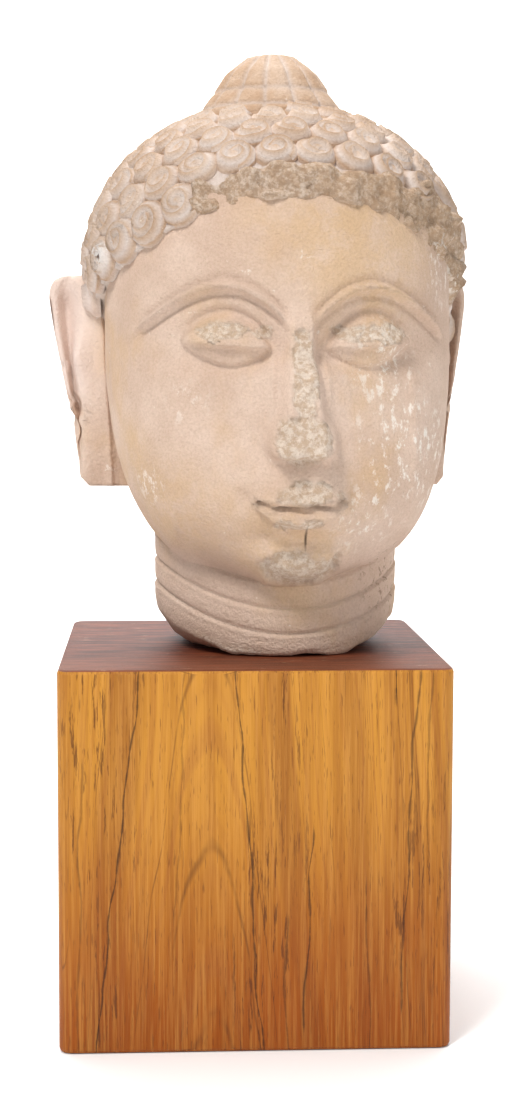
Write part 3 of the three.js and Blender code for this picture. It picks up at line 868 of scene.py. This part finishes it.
def stone_material():
    """Weathered sandstone, rougher where it is broken."""
    f = Finish("sandstone", 0.92, 0.2)
    hair, broken = f.mask("hair"), f.mask("broken")
    colour = hair_colour(f, skin_colour(f), hair)
    colour = break_colour(f, colour, hair, broken)
    colour = single_marks(f, deposits(f, colour))
    grain = f.times(f.noise(0.0045, 6, roughness=0.7), f.ramp(broken, 0, 1, 0.5, 2.4))
    return f.finish(colour, f.math("ADD", f.noise(0.0016, 4), grain), 0.0014, 0.9)


BLOCK_HEIGHT = 0.196

# Dark lines in the wood's front: x at the top and at the bottom, the stretch of height, and strength.
WOOD_LINES = (
    (-0.059, -0.081, 0.0, BLOCK_HEIGHT, 0.85),
    (-0.010, 0.004, 0.0, BLOCK_HEIGHT, 0.8),
    (0.081, 0.072, 0.02, BLOCK_HEIGHT, 0.7),
    (0.031, 0.024, 0.01, 0.115, 0.8),
    (0.070, 0.070, 0.18, BLOCK_HEIGHT, 1.0),
    (0.052, 0.058, 0.0, 0.09, 0.45),
    (-0.036, -0.044, 0.07, BLOCK_HEIGHT, 0.35),
    (-0.088, -0.09, 0.0, 0.15, 0.4),
    (0.012, 0.016, 0.0, 0.07, 0.5),
    (0.089, 0.086, 0.1, BLOCK_HEIGHT, 0.45),
)


def wood_lines(f, x, z):
    """How dark each thin line makes a place of the front, from lines that wander as they run down."""
    dark = 0.0
    for k, (high_x, low_x, low, high, strength) in enumerate(WOOD_LINES):
        lean = (high_x - low_x) / BLOCK_HEIGHT
        run = f.node("CombineXYZ", {0: 0.37 * k, 1: 0.0, 2: z}).outputs[0]
        wander = f.times(f.math("SUBTRACT", f.noise(0.05, 1.5, run), 0.5), 0.01)
        line = f.math("ADD", f.times(z, lean), low_x)
        away = f.math("ABSOLUTE", f.math("SUBTRACT", f.math("SUBTRACT", x, line), wander))
        width = f.ramp(f.noise(0.012, 4, run), 0.35, 0.65, 0.0002, 0.0011)
        near = f.math("SUBTRACT", 1.0, f.math("MINIMUM", f.math("DIVIDE", away, width), 1.0))
        lower_end, upper_end = f.ramp(z, low - 0.004, low + 0.004), f.ramp(z, high + 0.004, high - 0.004)
        crack = f.times(f.times(near, f.times(lower_end, upper_end)), strength)
        dark = f.math("MAXIMUM", crack, dark)
    return dark


def heart_distance(f, x, y, z):
    """Distance from the heart of the tree, which leans as it runs up behind the front."""
    warp = f.times(f.math("SUBTRACT", f.noise(0.07, 3, f.stretched(1, 1, 0.16)), 0.5), 0.036)
    across = f.math("ADD", f.math("ADD", x, 0.026), warp)
    behind = f.math("SUBTRACT", y, f.times(z, 0.03))
    return f.math("SQRT", f.math("ADD", f.times(across, across), f.times(behind, behind)))


def long_grain(f, rings, fibre, pores, z):
    """Golden brown, darker to the foot, with streaks, rings, pores, clusters of dashes and thin veins."""
    colour = f.mix(f.ramp(z, 0.0, 0.17), srgb(146, 71, 6), srgb(195, 134, 48))
    streaks = f.noise(0.009, 4, f.stretched(1, 1, 0.05))
    colour = f.mix(f.ramp(streaks, 0.4, 0.66, 0.0, 0.42), colour, srgb(132, 70, 18))
    colour = f.mix(f.ramp(f.line_noise(rings, 120.0, 4.0), 0.45, 0.66, 0.0, 0.4), colour, srgb(122, 62, 20))
    colour = f.mix(f.ramp(f.line_noise(rings, 900.0, 2.0), 0.45, 0.7, 0.0, 0.35), colour, srgb(146, 82, 36))
    colour = f.mix(f.ramp(fibre, 0.4, 0.7, 0.0, 0.4), colour, srgb(212, 152, 74))
    colour = f.mix(f.times(pores, 0.5), colour, srgb(96, 50, 20))
    deep = f.ramp(f.noise(0.05, 3, f.stretched(1, 1, 0.45)), 0.42, 0.62, 0.0, 0.4)
    colour = f.mix(f.times(deep, f.ramp(z, 0.13, 0.02)), colour, srgb(152, 76, 18))
    dashes = f.ramp(f.noise(0.0021, 4, f.stretched(1, 1, 0.07), roughness=0.7), 0.56, 0.62)
    clusters = f.ramp(f.noise(0.03, 2, f.stretched(1, 1, 0.25)), 0.5, 0.62, 0.0, 0.75)
    colour = f.mix(f.times(dashes, clusters), colour, srgb(86, 44, 20))
    vein = f.math("ABSOLUTE", f.math("SUBTRACT", f.line_noise(rings, 60.0, 2.0), 0.52))
    vein = f.times(f.ramp(vein, 0.007, 0.0, 0.0, 0.5), f.ramp(f.noise(0.03, 3), 0.4, 0.6, 0.15, 1.0))
    return f.mix(vein, colour, srgb(84, 44, 20))


def end_grain(f, y):
    """Dark red-brown with streaks across it, lighter to the front, and dusty in places."""
    streak = f.noise(0.004, 4, f.stretched(0.12, 1, 1))
    colour = f.mix(f.ramp(streak, 0.35, 0.65), srgb(66, 27, 16), srgb(124, 62, 38))
    colour = f.mix(f.ramp(y, -0.02, -0.1, 0.0, 0.5), colour, srgb(134, 76, 46))
    dust = f.ramp(f.noise(0.006, 6, f.stretched(0.5, 1, 1), roughness=0.8), 0.6, 0.68, 0.0, 0.4)
    return f.mix(dust, colour, srgb(190, 160, 130))


def wood_material():
    """Oiled hardwood: long grain on the sides, with dark cracks in front, and end grain on top."""
    f = Finish("oiled_hardwood", 0.55, 0.22)
    x, y, z = f.node("SeparateXYZ", {0: f.place}).outputs
    fibre = f.noise(0.0014, 5, f.stretched(1, 1, 0.02), roughness=0.65)
    pores = f.ramp(f.noise(0.0008, 2, f.stretched(1, 1, 0.06)), 0.6, 0.68)
    side = long_grain(f, heart_distance(f, x, y, z), fibre, pores, z)
    lines = f.times(wood_lines(f, x, z), f.ramp(y, -0.0985, -0.0995))
    side = f.mix(lines, side, srgb(42, 22, 14))
    up = f.node("SeparateXYZ", {0: f.node("NewGeometry").outputs["Normal"]}).outputs[2]
    colour = f.mix(f.ramp(f.math("ABSOLUTE", up), 0.55, 0.85), side, end_grain(f, y))
    cut = f.math("ADD", f.times(pores, 0.7), f.times(lines, 2.0))
    return f.finish(colour, f.math("SUBTRACT", fibre, cut), 0.0002, 0.7)


def area_light(name, place, target, size, power, colour):
    light = bpy.data.lights.new(name, "AREA")
    light.shape = "DISK"
    light.size = size
    light.energy = power
    light.color = colour
    made = bpy.data.objects.new(name, light)
    made.location = place
    made.rotation_euler = (Vector(target) - Vector(place)).to_track_quat("-Z", "Y").to_euler()
    bpy.context.collection.objects.link(made)


def build_studio():
    """A pale floor that sweeps up behind, a soft key from the front left, a fill and an even sky."""
    wide, depth, bend, high = 5.0, 2.0, 1.0, 4.0
    turns = [math.radians(a) for a in range(0, 91, 6)]
    path = [(-4.0, 0.0)] + [(depth + bend * math.sin(a), bend * (1 - math.cos(a))) for a in turns]
    path.append((depth + bend, high))
    points = [(x, y, z) for y, z in path for x in (-wide, wide)]
    faces = [(2 * i, 2 * i + 1, 2 * i + 3, 2 * i + 2) for i in range(len(path) - 1)]
    mesh = bpy.data.meshes.new("floor")
    mesh.from_pydata(points, [], faces)
    mesh.polygons.foreach_set("use_smooth", [True] * len(faces))
    floor = bpy.data.objects.new("floor", mesh)
    bpy.context.collection.objects.link(floor)
    paper = Finish("paper", 0.9, 0.5)
    paper.shader.inputs["Base Color"].default_value = (0.96, 0.96, 0.96, 1)
    mesh.materials.append(paper.material)
    middle = (0, 0, 0.3)
    area_light("key", (-0.8, -1.3, 2.0), middle, 0.6, 40, (1, 0.985, 0.965))
    area_light("fill", (1.6, -1.4, 0.7), middle, 1.6, 11, (0.97, 0.98, 1))
    area_light("overhead", (0, 0.9, 2.6), (0, 1.3, 0), 2.6, 62, (1, 1, 1))
    area_light("backdrop", (0, 1.6, 2.4), (0, 3.0, 0.7), 2.0, 60, (1, 1, 1))
    world = bpy.data.worlds.new("studio")
    world.use_nodes = True
    world.node_tree.nodes["Background"].inputs["Color"].default_value = (1, 1, 1, 1)
    world.node_tree.nodes["Background"].inputs["Strength"].default_value = 0.3
    bpy.context.scene.world = world
    bpy.context.scene.view_settings.view_transform = "Standard"


def build_camera():
    """The photograph's view: from the front, a little to the left, looking slightly down."""
    camera = bpy.data.cameras.new("camera")
    camera.sensor_width = 36
    camera.lens = CAMERA_LENS
    made = bpy.data.objects.new("camera", camera)
    forward = Vector(CAMERA_FORWARD).normalized()
    right = forward.cross(Vector(CAMERA_UP)).normalized()
    turn = Matrix((right, right.cross(forward), -forward)).transposed().to_4x4()
    made.matrix_world = Matrix.Translation(CAMERA_PLACE) @ turn
    bpy.context.collection.objects.link(made)
    bpy.context.scene.camera = made


build_camera()
build_studio()
build_head().data.materials.append(stone_material())
wood = wood_material()
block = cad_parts["wood_block"]
block.data.materials.clear()
block.data.materials.append(wood)
